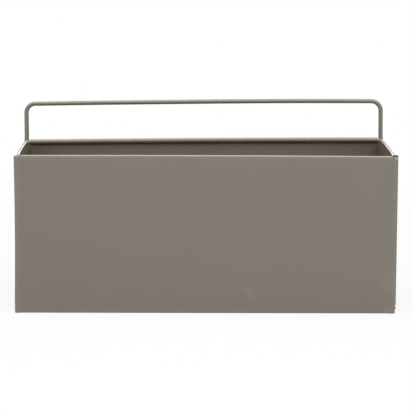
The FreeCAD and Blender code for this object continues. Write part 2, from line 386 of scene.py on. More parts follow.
@dataclass
class Sizes:
    """Sizes that the pieces share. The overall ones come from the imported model."""

    width: float  # the box itself, over its folded edges
    depth: float  # from the front panel's outer face to the wall plane
    height: float  # top of the hems and of the rolled rim
    top: float  # top of the hanger's bar
    sheet: float = 0.6 * MM  # thickness of every panel
    bend: float = 0.9 * MM  # radius of the middle of the sheet in a sharp bend
    rod: float = 4.4 * MM  # diameter of the hanger's rod
    hem: float = 3.0 * MM  # thickness of the open hems
    hem_return: float = 7.5 * MM  # straight leg under a hem's round top
    seam: float = 2.8 * MM  # thickness of the folded vertical edges at the front
    overhang: float = 5.35 * MM  # the front panel's edge, past a side panel's outer face
    mouth_drop: float = 1.0 * MM  # top of the front sheet at those edges, below the hems
    lug_foot: float = 4.2 * MM  # lowest point of the sides' lips and of the lugs over them
    base_return: float = 8.0 * MM  # flange that each wall turns in under the bottom pan
    slip: float = 0.05 * MM  # gap between faces that lie on each other
    end_gap: float = 0.3 * MM  # gap between an edge and what it stops short of
    relief: float = 0.1 * MM  # small cuts that free a fold from flat sheet beside it

    def __post_init__(self) -> None:
        """Works out the places that follow, all in the right-hand half of the box."""
        self.half_width = self.width / 2
        self.front, self.back = -self.depth / 2, self.depth / 2
        self.side_out = self.half_width - self.overhang  # outer face of the side panel
        self.side_in = self.side_out - self.sheet  # its inner face
        self.inner_half = self.side_in - self.end_gap  # end of the front panel's hem
        self.leg_x = self.side_out + self.slip + self.rod / 2
        self.leg_y = self.back - self.sheet - self.slip - self.rod / 2
        self.base_crease = self.sheet / 2 + self.bend  # where a wall starts to turn in
        self.lip_crease = self.front + self.sheet + self.slip + self.sheet / 2 + self.bend

    @classmethod
    def from_frame(cls) -> "Sizes":
        """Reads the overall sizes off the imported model's front panel and whole box."""
        low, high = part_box("front_panel")
        whole_low, whole_high = CAD_BOX
        return cls(width=high.x - low.x, depth=whole_high.y - whole_low.y, height=high.z,
                   top=whole_high.z)

    def zone(self, low: float, high: float) -> Pair:
        """The zone of a fold whose sheet spans low to high: half a relief wider at each end."""
        return low - self.relief / 2, high + self.relief / 2

    def base_fold(self, low: float, high: float) -> Fold:
        """The flange that a wall turns in at its foot, between two places across the wall."""
        line = BentLine.bend(self.bend, -90, self.base_return - self.bend)
        return Fold(Axis.UP, -1, self.base_crease, line, *self.zone(low, high))

    def hem_fold(self, degrees: float, low: float, high: float) -> Fold:
        """The open hem on top of a wall: a half turn to one side and a straight leg down."""
        line = BentLine.bend((self.hem - self.sheet) / 2, degrees, self.hem_return)
        return Fold(Axis.UP, 1, self.height - self.hem / 2, line, *self.zone(low, high))

    def inward(self, fold: Fold, up: Array) -> Array:
        """How far the middle of a wall's foot has turned in from the wall's outer face."""
        _, out, _ = fold.line.walk(np.maximum(fold.crease - up, 0.0))
        return self.sheet / 2 - out

    def mitred(self, fold: Fold, across: Array, up: Array, corner: float, edge: float) -> Array:
        """Mitres the ends of a wall's flange.

        Args:
            fold: the flange.
            across, up: coordinates of points on the wall's blank.
            corner: outer face of the wall that it meets.
            edge: where the flange's ends lie on the blank.

        Returns:
            The points' new places across.
        """
        limit = corner - self.end_gap / math.sqrt(2) - self.inward(fold, up)
        return np.where(up < fold.crease, pulled_in(across, limit, edge), across)

    def painted_corner_shade(self, to_corner: Array, up: Array) -> Array:
        """How much painted shade a wall's inside gets: exp(-d / reach) of the distance d to a
        corner.

        It dies out towards the wall's upper edge.
        """
        nearness = np.exp(-np.maximum(to_corner, 0.0) / CORNER_SHADE_REACH)
        return nearness * smooth_step(self.height - up, *CORNER_SHADE_FADE)


# ---- what forming and handling leave in the sheet ------------------------------------------


@dataclass(frozen=True)
class Dent:
    """A shallow oval dent."""

    across: float  # its middle on the panel
    up: float
    width: float  # how far from the middle it reaches
    height: float
    depth: float  # how deep its middle lies
    lean: float = 0.0  # how far its upper end leans across, per metre of height

    def at(self, across: Array, up: Array) -> Array:
        """Depth of the dent, a bell exp(-2 r^2) of the distance r in widths and heights."""
        rise = up - self.up
        aside = (across - self.across - self.lean * rise) / self.width
        return self.depth * np.exp(-2.0 * (aside ** 2 + (rise / self.height) ** 2))


@dataclass(frozen=True)
class Waviness:
    """The slow unevenness of rolled sheet: three crossing waves, never above the plane."""

    height: float = 0.12 * MM  # how deep its hollows are
    length: float = 150.0 * MM  # the longest of its waves
    phase: float = 0.0  # start of the waves, so that no two panels are alike

    def at(self, across: Array, up: Array) -> Array:
        """Depth at points of a panel: 1 - the mean of the sines, in halves of the height."""
        turn = math.tau / self.length
        mean = sum(np.sin(turn * (a * across + b * up) + c * self.phase)
                   for a, b, c in WAVES) / len(WAVES)
        return self.height * (0.5 - mean / 2)


@dataclass(frozen=True)
class Racking:
    """The twist of an open box of thin sheet: its rear left corner stands lower than the others."""

    drop: float = 3.0 * MM  # how much lower the rim is at that corner

    def applied(self, points: Array, sizes: Sizes) -> Array:
        """Lowers points by a share of their height that grows to the rear and to the left."""
        rear = np.clip(0.5 + points[:, 1] / sizes.depth, 0.0, 1.0)
        left = np.clip(0.5 - points[:, 0] / sizes.width, 0.0, 1.0)
        shrink = 1.0 - self.drop / sizes.height * rear * left
        return points * np.stack([np.ones_like(shrink), np.ones_like(shrink), shrink], axis=-1)


@dataclass(frozen=True)
class Crown:
    """The rise of a long wall's upper edge towards its middle."""

    rise: float  # how far the middle of the edge stands up
    right_rise: float = 0.0  # how far its right end stands up

    def at(self, across: Array, up: Array, sizes: Sizes) -> Array:
        """How far points are lifted.

        It is the rise times a half cosine across the wall, and the right rise times the way from
        left to right. Both are times the square of the share of the height.
        """
        aside = np.clip(across / sizes.width, -0.5, 0.5)
        lifted = self.rise * np.cos(math.pi * aside) + self.right_rise * (0.5 + aside)
        return lifted * np.clip(up / sizes.height, 0.0, 1.0) ** 2


@dataclass(frozen=True)
class Bow:
    """The outward bulge of a side wall, most at its top."""

    depth: float  # how far the middle of its top stands out

    def at(self, y: Array, z: Array, sizes: Sizes) -> Array:
        """Depth times 1 - u^4, where u runs from -1 at the front seam to 1 at the hanger's leg.

        It is also times a smooth rise of the height.
        """
        share = (y - sizes.lip_crease) / (sizes.leg_y - sizes.lip_crease)
        across = 2.0 * np.clip(share, 0.0, 1.0) - 1.0
        return self.depth * (1.0 - across ** 4) * smooth_step(z, 0.0, sizes.height)


LEFT_BOW = Bow(1.65 * MM)
RIGHT_BOW = Bow(1.75 * MM)


@dataclass(frozen=True)
class SeamPress:
    """The front corner seams, pressed back a little from a line just outside each side wall."""

    start: float = 176.1 * MM  # distance of that line from the box's middle
    slope: float = 0.05  # how much the seam falls back over its width
    blend: float = 0.6 * MM  # width over which it starts to

    def at(self, x: Array) -> Array:
        """How far the seam is pressed back at X."""
        past = np.maximum(np.abs(x) - self.start, 0.0)
        return self.slope * past * smooth_step(past, 0.0, self.blend)


# ---- sheet pieces ------------------------------------------------------------------------


class Side(Enum):
    """The two sides of the box, by the sign of their X."""

    LEFT = -1
    RIGHT = 1


@dataclass
class SheetPiece(ABC):
    """A piece of folded sheet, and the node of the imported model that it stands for."""

    name: str  # name of that node
    sizes: Sizes  # the sizes shared by all pieces
    waviness: Waviness = Waviness()  # the unevenness of its sheet
    side: Side = Side.RIGHT  # a left-hand piece is mirrored once it is folded

    @abstractmethod
    def plane(self) -> Plane:
        """Where the blank lies flat: a point of its middle, and across, up and its normal."""

    @abstractmethod
    def outline(self) -> Corners:
        """Corners of the blank, going round."""

    @abstractmethod
    def folds(self) -> list[Fold]:
        """The folded edges."""

    def trimmed(self, across: Array, up: Array) -> tuple[Array, Array]:
        """Moves points of the blank where its outline isn't square. Here it is."""
        return across, up

    def formed(self, points: Array) -> Array:
        """Moves points of the folded sheet as forming and handling did. Here they stay."""
        return points

    def corner_shaded(self, across: Array, up: Array) -> Array:
        """How much painted shade the inner face's points get near an inside corner of the box. Here
        none.
        """
        return 0.0 * across

    def grid(self, outline: Array) -> list[Array]:
        """Places of the grid's lines over the blank, as two arrays of points' coordinates."""
        lines = []
        for axis in Axis:
            folds = [f for f in self.folds() if f.axis is axis]
            creases = np.concatenate([f.marks() for f in folds])
            bends = [bend for f in folds for bend in f.bends()]
            lines.append(grid_lines(outline[:, axis.value], creases, bends, self.sizes.sheet / 2))
        return np.meshgrid(*lines)

    def folded(self, across: Array, up: Array) -> tuple[Array, Array]:
        """Carries points of the blank to the folded sheet.

        A point past a crease leaves the plane by the fold's bent line: it lies as far along the
        axis and as far off the plane as that line has walked. The sheet's normal turns with the
        line's heading.

        Args:
            across, up: the points' coordinates on the blank.

        Returns:
            Points of the middle of the sheet, and its normals, one row for each point.
        """
        origin, *axes, normal = np.array(self.plane(), dtype=float)
        points = origin + across[..., None] * axes[0] + up[..., None] * axes[1]
        normals = np.broadcast_to(normal, points.shape).copy()
        for fold in self.folds():
            past = fold.past(across, up)
            along, out, heading = fold.line.walk(past)
            axis = fold.side * axes[fold.axis.value]
            points += (along - past)[..., None] * axis + out[..., None] * normal
            turned = np.cos(heading)[..., None] * normal - np.sin(heading)[..., None] * axis
            normals = np.where(past[..., None] > 0, turned, normals)
        return points, normals

    def surface(self) -> Surface:
        """Makes the closed surface of the folded sheet.

        Both faces of the blank carry the same grid. A face lies half a thickness off the middle,
        and within half a thickness r of a raw edge only r sin t off it, where the distance from
        the edge is r (1 - cos t). At the edge the two faces share their vertices. The map shows
        the two faces one over the other.

        Returns:
            The surface, with its attributes and its map.
        """
        outline = np.array(self.outline())
        across, up = self.grid(outline)
        kept = inside_outline(outline, (across[:-1, 1:] + across[:-1, :-1]) / 2,
                              (up[1:, :-1] + up[:-1, :-1]) / 2)
        ring = np.pad(kept, 1).astype(int)
        touching = ring[:-1, :-1] + ring[:-1, 1:] + ring[1:, :-1] + ring[1:, 1:]
        used, rim = touching > 0, (touching > 0) & (touching < 4)
        inner_used = used & ~rim

        radius = self.sizes.sheet / 2
        depth = np.where(rim, 0.0, depth_inside(outline, across, up))
        half = radius * np.sqrt(1.0 - (1.0 - np.minimum(depth, radius) / radius) ** 2)
        middle, normals = self.folded(*self.trimmed(across, up))
        mirror = np.array([self.side.value, 1.0, 1.0])
        middle, off = self.formed(middle) * mirror, normals * mirror * half[..., None]

        def both(outer: Array, inner: Array) -> Array:
            """One row for each vertex, from its value on the outer or on the inner face."""
            return np.concatenate([outer[used], inner[inner_used]])

        outer_index = np.where(used, np.cumsum(used).reshape(used.shape) - 1, 0)
        inner_index = np.where(inner_used, used.sum() - 1
                               + np.cumsum(inner_used).reshape(used.shape), outer_index)
        edge = np.exp(-depth / (EDGE_FADE * self.sizes.sheet))
        shut = 1.0 - np.exp(-depth / (SHUT_FADE * self.sizes.sheet))
        bent = np.max([f.bend_nearness(across, up) for f in self.folds()], axis=0)
        # painted shade: the inside faces of closed folds are darkened
        painted_fold_shade = (np.max([(f.closed == face) * (f.past(across, up) > 0) * shut
                          for f in self.folds()], axis=0) for face in (1, -1))
        flat = np.stack([(across - across.min()) / np.ptp(across),
                         (up - up.min()) / np.ptp(up) * (0.5 - MAP_GAP)], axis=-1)
        turn = slice(None, None, self.side.value)
        faces, maps = ([cells(outer, kept)[:, turn], cells(inner, kept)[:, ::-1][:, turn]]
                       for outer, inner in ((outer_index, inner_index),
                                            (flat, flat + (0.0, 0.5 + MAP_GAP))))
        # The last two values darken the coat as painted shade: inside closed folds, and in the
        # box's inside corners.
        return Surface(both(middle + off, middle - off), faces,
                       {RAW_EDGE: both(edge, edge), BENT: both(bent, bent), PAINTED_FOLD_SHADE: both(*painted_fold_shade),
                        PAINTED_CORNER_SHADE: both(0.0 * across, self.corner_shaded(across, up))}, maps)


@dataclass
class FrontPanel(SheetPiece):
    """The front sheet: hem on top, vertical edges folded back over the sides' lips."""

    seam_foot: float = 7.8 * MM  # foot of the long fold
    lug_top: float = 6.4 * MM  # top of the short lug of fold under the notch
    left_notch: float = 0.35 * MM  # how far the left notch and foot stand back from the edge
    right_notch: float = 0.9 * MM  # and the right ones
    press: SeamPress = SeamPress()  # how the seams are pressed back
    dents: tuple[Dent, ...] = ()  # dents in its face
    mouth_dip: float = 1.2 * MM  # how far the right mouth's front lip is pushed down
    dip_width: Pair = (4 * MM, 2.5 * MM)  # how far from the edge that starts
    dip_depth: Pair = (1.2 * MM, 2 * MM)  # and how far behind the face it fades
    mouth_lift: float = 0.9 * MM  # how far that mouth's rear leg tops the left one's
    mouth_blend: float = 1.5 * MM  # width over which a mouth's height starts to differ
    mouth_reach: float = 8 * MM  # how far below the mouths the seams stretch with them
    left_drop: float = 0.55 * MM  # how far the left seam's top lies lower
    crown: Crown = Crown(0.4 * MM)  # rise of its upper edge
    left_squeeze: float = 0.7 * MM  # how far its left seam is pushed in, at half height
    side_fade: Pair = (4 * MM, 30 * MM)  # where its waves start, from each side

    @property
    def seam_crease(self) -> float:
        """Distance from the middle at which an edge starts to fold back."""
        return self.sizes.half_width - self.sizes.seam / 2

    def plane(self) -> Plane:
        """Upright, facing away from the wall."""
        return (0, self.sizes.front + self.sizes.sheet / 2, 0), (1, 0, 0), (0, 0, 1), (0, -1, 0)

    def seam_line(self) -> BentLine:
        """The edge's half turn to the rear, and its leg back towards the side wall."""
        s = self.sizes
        return BentLine.bend((s.seam - s.sheet) / 2, -180, self.seam_crease - s.side_out - s.slip)

    def folds(self) -> list[Fold]:
        """Hem to the rear, flange to the rear, and the two vertical edges."""
        s = self.sizes
        sides = [Fold(Axis.ACROSS, side, side * self.seam_crease, self.seam_line())
                 for side in (-1, 1)]
        return [s.hem_fold(-180, -s.inner_half, s.inner_half),
                s.base_fold(-s.inner_half, s.inner_half), *sides]

    def outline(self) -> Corners:
        """The blank: the right half's corners from the bottom up, then the left half's down."""
        return self.half_outline(self.right_notch) + mirrored(self.half_outline(self.left_notch))

    def half_outline(self, notch: float) -> Corners:
        """The right half's corners from the bottom up, with a notch of this depth."""
        s = self.sizes
        hem, base, _, seam = self.folds()
        fold_edge, foot_edge = seam.marks()[-1], s.half_width - notch
        free, mouth = s.inner_half + s.relief, s.height - s.mouth_drop
        return stepped(s.inner_half, base.marks()[-1], s.base_crease, free, 0.0, foot_edge,
                       s.lug_foot, fold_edge, self.lug_top, foot_edge, self.seam_foot, fold_edge,
                       mouth, free, hem.crease, s.inner_half, hem.marks()[-1])

    def trimmed(self, across: Array, up: Array) -> tuple[Array, Array]:
        """Mitres the flange's ends, and shapes the mouths of the seams.

        A mouth rises evenly from its front leg to its rear one. The left one lies lower, the right
        one's rear leg higher, and the right one's front lip dips. Below a mouth this dies out.
        """
        s = self.sizes
        across = s.mitred(self.folds()[1], across, up, s.side_out, s.inner_half)
        _, out, _ = self.seam_line().walk(np.maximum(np.abs(across) - self.seam_crease, 0.0))
        behind = s.sheet / 2 - out
        left, right = (smooth_step(side * across, s.side_out, s.side_out + self.mouth_blend)
                       for side in (-1, 1))
        rise = (s.mouth_drop + self.mouth_lift * right) * np.clip(
            (behind - s.sheet) / (s.seam - 2 * s.sheet), 0.0, 1.0) - self.left_drop * left
        mouth = s.height - s.mouth_drop
        dip = self.mouth_dip * smooth_step(across, *(s.half_width - w for w in self.dip_width))
        dip = dip * (1.0 - smooth_step(behind, *self.dip_depth))
        moved = (rise - dip) * smooth_step(up, mouth - self.mouth_reach, mouth)
        return across, up + np.where(up <= mouth, moved, 0.0)

    def corner_shaded(self, across: Array, up: Array) -> Array:
        """Painted shade on its inner face, which runs from corner to corner."""
        to_corner = self.sizes.side_in - np.abs(across)
        return self.sizes.painted_corner_shade(to_corner, up) * (to_corner > 0)

    def formed(self, points: Array) -> Array:
        """Presses the seams back, adds the dents and the waves of the face, and crowns its top.

        The left seam is pushed in by a half sine of the height, and by the share of its width.
        """
        s = self.sizes
        x, z = points[..., 0], points[..., 2]
        depth = self.press.at(x) + sum(d.at(x, z) for d in self.dents)
        inside = smooth_step(s.half_width - np.abs(x), *self.side_fade)
        depth = depth + inside * self.waviness.at(x, z)
        outside = np.clip((-x - s.side_out) / s.overhang, 0.0, 1.0)
        squeeze = self.left_squeeze * outside * np.sin(math.pi * np.clip(z / s.height, 0.0, 1.0))
        return points + np.stack([squeeze, depth, self.crown.at(x, z, s)], axis=-1)


@dataclass
class SidePanel(SheetPiece):
    """A side sheet: hem on top, lip in the front seam, and a curl round the hanger's leg."""

    lip: float = 3.95 * MM  # width of the lip, held in the front panel's fold
    curl_turn: float = 290.0  # degrees that its rear edge is curled through
    curl_drop: float = 3.0 * MM  # top of the lip and of the curl, below the hems' top
    curl_foot: float = 8.0 * MM  # foot of the curl
    bow: Bow = RIGHT_BOW  # its outward bulge
    flare: float = 0.0  # degrees that the hem's leg stands open
    press: SeamPress = SeamPress()  # how the front seams are pressed back

    @property
    def curl_radius(self) -> float:
        """Radius of the middle of the sheet round the leg."""
        return self.sizes.rod / 2 + self.sizes.slip + self.sizes.sheet / 2

    @property
    def hem_ends(self) -> Pair:
        """Y of the hem's front and rear ends, clear of the front seam and of the leg."""
        s = self.sizes
        return (s.front + s.seam + s.end_gap,
                s.leg_y - self.curl_radius - s.sheet / 2 - s.end_gap)

    def plane(self) -> Plane:
        """Upright, facing out to the right."""
        return (self.sizes.side_in + self.sizes.sheet / 2, 0, 0), (0, 1, 0), (0, 0, 1), (1, 0, 0)

    def folds(self) -> list[Fold]:
        """Hem outwards, flange inwards, lip outwards at the front, curl outwards at the rear."""
        s = self.sizes
        lip = BentLine.bend(s.bend, 90, self.lip - s.bend)
        curl = BentLine.bend(self.curl_radius, self.curl_turn)
        return [s.hem_fold(180 - self.flare, *self.hem_ends), s.base_fold(-math.inf, math.inf),
                Fold(Axis.ACROSS, -1, s.lip_crease, lip),
                Fold(Axis.ACROSS, 1, s.leg_y, curl, low=self.curl_foot - s.end_gap / 2)]

    def outline(self) -> Corners:
        """The blank, from the bottom's rear end up the curl, over the hem and down the lip."""
        s = self.sizes
        hem, *_ = folds = self.folds()
        hem_end, base_end, lip_end, curl_end = (fold.marks()[-1] for fold in folds)
        hem_front, hem_back = self.hem_ends
        front_free, back_free = hem_front - s.relief, hem_back + s.relief
        sheet_top, curl_top = s.height - s.mouth_drop, s.height - self.curl_drop
        heel_top = self.curl_foot - s.end_gap
        return stepped(s.back, base_end, heel_top, s.leg_y, self.curl_foot, curl_end, curl_top,
                       s.leg_y, sheet_top, back_free, hem.crease, hem_back, hem_end, hem_front,
                       hem.crease, front_free, sheet_top, s.lip_crease, curl_top, lip_end,
                       s.lug_foot, s.lip_crease, base_end)

    def trimmed(self, across: Array, up: Array) -> tuple[Array, Array]:
        """Mitres both ends of the flange."""
        s = self.sizes
        rear, front = (s.mitred(self.folds()[1], across, up, s.back, edge)
                       for edge in (s.back, -s.lip_crease))
        return np.where(across > 0, rear, front), up

    def corner_shaded(self, across: Array, up: Array) -> Array:
        """Painted shade on its inner face, which is near both corners of its end of the box."""
        return self.sizes.painted_corner_shade(self.sizes.back - np.abs(across), up)

    def formed(self, points: Array) -> Array:
        """Bows the wall out at its top, adds its waves, and presses the lip back."""
        s = self.sizes
        x, y, z = np.moveaxis(points, -1, 0)
        along = np.clip((y - s.lip_crease) / (s.leg_y - s.lip_crease), 0.0, 1.0)
        wave = self.waviness.at(y, z) * np.sin(math.pi * along) ** 2
        pressed = np.where(y < s.lip_crease, self.press.at(x), 0.0)
        return np.stack([x + self.bow.at(y, z, s) - wave, y + pressed, z], axis=-1)


@dataclass
class BackPanel(SheetPiece):
    """The back sheet: rolled rim on top, lips forward inside the sides, flange below."""

    roll: float = 4.7 * MM  # outer diameter of the rolled rim
    roll_turn: float = 300.0  # degrees that it is curled through
    roll_mitre: float = 2.0 * MM  # how much shorter it is below than above, at each end
    roll_gap: float = 0.1 * MM  # gap between its ends and the side panels
    lip: float = 10.0 * MM  # width of the forward lips
    lip_foot: float = 10.65 * MM  # foot of the lips
    lip_drop: float = 2.9 * MM  # top of the lips, below the top of the rim
    tab: float = 0.55 * MM  # how far the sheet under the rim reaches behind the sides
    crown: Crown = Crown(0.6 * MM, right_rise=0.45 * MM)  # rise of its upper edge
    side_blend: float = 2.5 * MM  # how far from its sides it starts to follow their bows
    side_fade: Pair = (2 * MM, 40 * MM)  # where its waves start, from each side,
    foot_fade: Pair = (4 * MM, 30 * MM)  # from its foot
    rim_fade: Pair = (8 * MM, 30 * MM)  # and from its rim

    @property
    def half(self) -> float:
        """Half of its width, between the side panels."""
        return self.sizes.side_in - self.sizes.slip

    @property
    def roll_half(self) -> float:
        """Half length of the rolled rim."""
        return self.sizes.side_in - self.roll_gap

    def plane(self) -> Plane:
        """Upright, facing the wall."""
        return (0, self.sizes.back - self.sizes.sheet / 2, 0), (-1, 0, 0), (0, 0, 1), (0, 1, 0)

    def folds(self) -> list[Fold]:
        """Rim rolled forward, flange forward, and the two forward lips."""
        s = self.sizes
        rolled = BentLine.bend((self.roll - s.sheet) / 2, -self.roll_turn)
        lip = BentLine.bend(s.bend, -90, self.lip - s.bend)
        crease = self.half - s.sheet / 2 - s.bend
        zone = s.zone(self.lip_foot, s.height - self.lip_drop)
        lips = [Fold(Axis.ACROSS, side, side * crease, lip, *zone) for side in (-1, 1)]
        return [Fold(Axis.UP, 1, s.height - self.roll / 2, rolled),
                s.base_fold(-math.inf, math.inf), *lips]

    def outline(self) -> Corners:
        """The blank: one half's corners from the bottom up, then the other half's down."""
        s = self.sizes
        roll, base, _, lip = self.folds()
        foot, top, edge = self.lip_foot, s.height - self.lip_drop, lip.marks()[-1]
        tab = s.side_in + self.tab
        half = stepped(self.half, base.marks()[-1], foot - s.relief, lip.crease, foot, edge, top,
                       lip.crease, top + s.relief, tab, roll.crease, self.roll_half,
                       roll.marks()[-1])
        return half + mirrored(half)

    def trimmed(self, across: Array, up: Array) -> tuple[Array, Array]:
        """Mitres the flange's ends, and slopes the ends of the rim in towards its underside."""
        s = self.sizes
        roll, base = self.folds()[:2]
        rise, _, _ = roll.line.walk(np.maximum(up - roll.crease, 0.0))
        below_top = (s.height - roll.crease - s.sheet / 2 - rise) / (self.roll - s.sheet)
        top = roll.crease + (self.roll - s.sheet) / 2 * math.pi / 2
        started = smooth_step(up, top, top + self.roll / 2)
        limit = self.roll_half - self.roll_mitre * np.clip(below_top, 0.0, 1.0) * started
        rim = pulled_in(across, limit, self.roll_half)
        return np.where(up > roll.crease, rim,
                        s.mitred(base, across, up, s.side_out, self.half)), up

    def corner_shaded(self, across: Array, up: Array) -> Array:
        """Painted shade on its inner face, which runs from corner to corner."""
        return self.sizes.painted_corner_shade(self.half - np.abs(across), up)

    def formed(self, points: Array) -> Array:
        """Crowns the rim, and adds waves that die out towards it, the flange and the sides.

        The lips and the rim's ends follow the bows of the side walls.
        """
        s = self.sizes
        x, y, z = np.moveaxis(points, -1, 0)
        beside = smooth_step(np.abs(x), self.half - self.side_blend, self.half - s.sheet)
        bow = np.where(x < 0, -LEFT_BOW.at(y, z, s), RIGHT_BOW.at(y, z, s))
        inside = (smooth_step(self.half - np.abs(x), *self.side_fade)
                  * smooth_step(z, *self.foot_fade) * smooth_step(s.height - z, *self.rim_fade))
        return points + np.stack([beside * bow, -inside * self.waviness.at(x, z),
                                  self.crown.at(x, z, s)], axis=-1)


@dataclass
class BottomPan(SheetPiece):
    """The tray that lies on the turned-in flanges, its four edges turned up inside the walls."""

    upstand: float = 9.0 * MM  # height of the turned-up edges, over the flanges
    corner: float = 1.6 * MM  # width of the square opening at each corner
    sag: float = 0.3 * MM  # how far the middle hangs lower than the edges

    @property
    def halves(self) -> Pair:
        """Half of its outer size along X and along Y."""
        s = self.sizes
        return s.side_in - s.slip, s.back - s.sheet - s.slip

    def plane(self) -> Plane:
        """Level, on the flanges, facing up."""
        s = self.sizes
        return (0, 0, s.sheet + s.slip + s.sheet / 2), (1, 0, 0), (0, 1, 0), (0, 0, 1)

    def folds(self) -> list[Fold]:
        """The four edges, turned up."""
        s = self.sizes
        wall = BentLine.bend(s.bend, 90, self.upstand - s.sheet / 2 - s.bend)
        return [Fold(axis, side, side * (half - s.sheet / 2 - s.bend), wall)
                for axis, half in zip(Axis, self.halves) for side in (-1, 1)]

    def outline(self) -> Corners:
        """The blank: a cross, going round from the right-hand edge's upper corner."""
        half_x, half_y = (half - self.corner for half in self.halves)
        edge_x, edge_y = (self.folds()[i].marks()[-1] for i in (1, 3))
        quarter = [(edge_x, half_y), (half_x, half_y), (half_x, edge_y)]
        upper = quarter + mirrored(quarter)
        return upper + [(-a, -b) for a, b in upper]

    def formed(self, points: Array) -> Array:
        """Lets the middle sag, as a flat tray of thin sheet does."""
        share = np.prod([np.cos(np.clip(points[..., i] / half, -1, 1) * math.pi / 2)
                         for i, half in enumerate(self.halves)], axis=0)
        return points - (self.sag * share)[..., None] * np.array([0.0, 0.0, 1.0])


# ---- the hanger --------------------------------------------------------------------------


@dataclass
class HangerRod:
    """The round rod, bent into an upturned U that hangs the box."""

    name: str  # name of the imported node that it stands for
    sizes: Sizes  # the sizes shared by all pieces
    leg_foot: float = 10.0 * MM  # foot of each leg, above the resting surface
    left_bend: float = 8.8 * MM  # radius of the rod's middle line in its left bend
    right_bend: float = 9.4 * MM  # and in its right one
    left_lean: Pair = (0.6 * MM, 0.35 * MM)  # how far that leg stands in,
    right_lean: Pair = (0.5 * MM, 1.0 * MM)  # at the rim and at its bend
    lean_start: Pair = (-5 * MM, 2 * MM)  # where that starts, above the hems
    droop: float = 0.65 * MM  # the most that the bar falls off to the left
    droop_span: Pair = (-0.1, 0.22)  # shares of the bar between which that dies out
    lift: float = 0.85 * MM  # how far the bar arches up
    lift_power: float = 1.6  # power that puts the top of that arch right of the middle
    nose: float = 0.7 * MM  # how far from its cut ends the rod starts to round off
    sides: int = 32  # corners of the round section
    bend_rings: int = 19  # rings of them in a bend
    nose_rings: int = 7  # and in a rounded end
    bend_wear: float = 0.3  # how much its bends are rubbed, beside a sheet's

    def line(self) -> BentLine:
        """The rod's middle line, from the left foot up, across and down, heading up at first."""
        s = self.sizes
        rise = s.top - s.rod / 2 - self.leg_foot
        return BentLine((Stretch(rise - self.left_bend), Stretch.bend(self.left_bend, -90),
                         Stretch(2 * s.leg_x - self.left_bend - self.right_bend),
                         Stretch.bend(self.right_bend, -90), Stretch(rise - self.right_bend)))

    def handled(self, points: Array) -> Array:
        """Leans the legs in, and lets the bar droop to the left.

        The lean of a leg rises to its first value at the rim and goes on evenly to its second.
        Between the legs it changes evenly. The bar is lifted by the lift times sin(pi t^p), less
        the droop times 1 minus a smooth rise of t, where t runs from 0 at the left leg to 1.
        """
        s = self.sizes
        share = np.clip(0.5 + points[:, 0] / (2 * s.leg_x), 0.0, 1.0)
        started = smooth_step(points[:, 2], *(s.height + start for start in self.lean_start))
        higher = np.clip((points[:, 2] - s.height) / (s.top - s.height), 0.0, 1.0)
        left, right = (started * (low + (high - low) * higher)
                       for low, high in (self.left_lean, self.right_lean))
        fallen = self.droop * (1.0 - smooth_step(share, *self.droop_span))
        rise = self.lift * np.sin(math.pi * share ** self.lift_power) - fallen
        return points + np.stack([left * (1.0 - share) - right * share, 0.0 * share,
                                  rise * higher], axis=-1)

    def surface(self) -> Surface:
        """Carries a circle along the line: c + r (cos t n + sin t y), with n square to the line.

        Within the nose's length n of a cut end, the radius is less by n (1 - sin u), where the
        distance from the end is n (1 - cos u). Each end is closed by a fan to its middle.

        Returns:
            The closed surface, with a map of its length and its way round.
        """
        s = self.sizes
        line = self.line()
        ends = line.ends()
        rounding = self.nose * (1 - np.cos(np.linspace(0.0, math.pi / 2, self.nose_rings)))
        bends = [np.linspace(ends[i], ends[i + 1], self.bend_rings) for i in (1, 3)]
        runs = [np.linspace(ends[i], ends[i + 1], math.ceil((ends[i + 1] - ends[i]) / WEB_STEP))
                for i in (0, 2, 4)]
        along = np.unique(np.concatenate([*runs, *bends, rounding, ends[-1] - rounding]).round(8))
        to_end = np.minimum(along, ends[-1] - along)
        short = np.clip(to_end / self.nose, 0.0, 1.0)
        radius = s.rod / 2 - self.nose * (1 - np.sqrt(np.maximum(1 - (1 - short) ** 2, 0.0)))

        # The line starts by heading up, so its x runs along Z and its y towards -X.
        rise, left, heading = line.walk(along)
        level = np.full(along.shape, s.leg_y)
        centre = np.stack([-s.leg_x - left, level, self.leg_foot + rise], axis=-1)
        outward = np.stack([-np.cos(heading), 0.0 * level, -np.sin(heading)], axis=-1)
        around = np.linspace(0.0, math.tau, self.sides, endpoint=False)
        ring = (np.cos(around)[:, None] * outward[:, None]
                + np.sin(around)[:, None] * np.array([0.0, 1.0, 0.0]))
        rings = centre[:, None] + radius[:, None, None] * ring
        points = self.handled(np.concatenate([rings.reshape(-1, 3), centre[:1], centre[-1:]]))

        count = len(along) * self.sides
        index = np.arange(count).reshape(-1, self.sides)
        after = np.roll(index, -1, axis=1)
        caps = [np.stack([a, b, np.full(self.sides, middle)], axis=-1) for a, b, middle
                in ((after[0], index[0], count), (index[-1], after[-1], count + 1))]
        u, v = np.meshgrid(np.arange(self.sides + 1) / self.sides, along / ends[-1])
        disc = MAP_DISC * np.stack([np.cos(around), np.sin(around)], axis=-1)
        discs = (disc, np.roll(disc, -1, axis=0))
        cap_maps = [np.stack([a, b, np.zeros_like(a)], axis=1) + middle
                    for a, b, middle in zip(discs[::-1], discs, MAP_ENDS)]

        bent = sum((along > ends[i]) & (along < ends[i + 1]) for i in (1, 3)) * self.bend_wear
        edge = np.exp(-to_end / (EDGE_FADE * s.sheet))
        return Surface(points, [cells(np.column_stack([index, index[:, 0]])), np.concatenate(caps)],
                       {RAW_EDGE: np.append(np.repeat(edge, self.sides), [1.0, 1.0]),
                        BENT: np.append(np.repeat(bent, self.sides), [0.0, 0.0])},
                       [cells(np.stack([v, MAP_TUBE * u], axis=-1)), np.concatenate(cap_maps)])


# ---- shader maths ------------------------------------------------------------------------


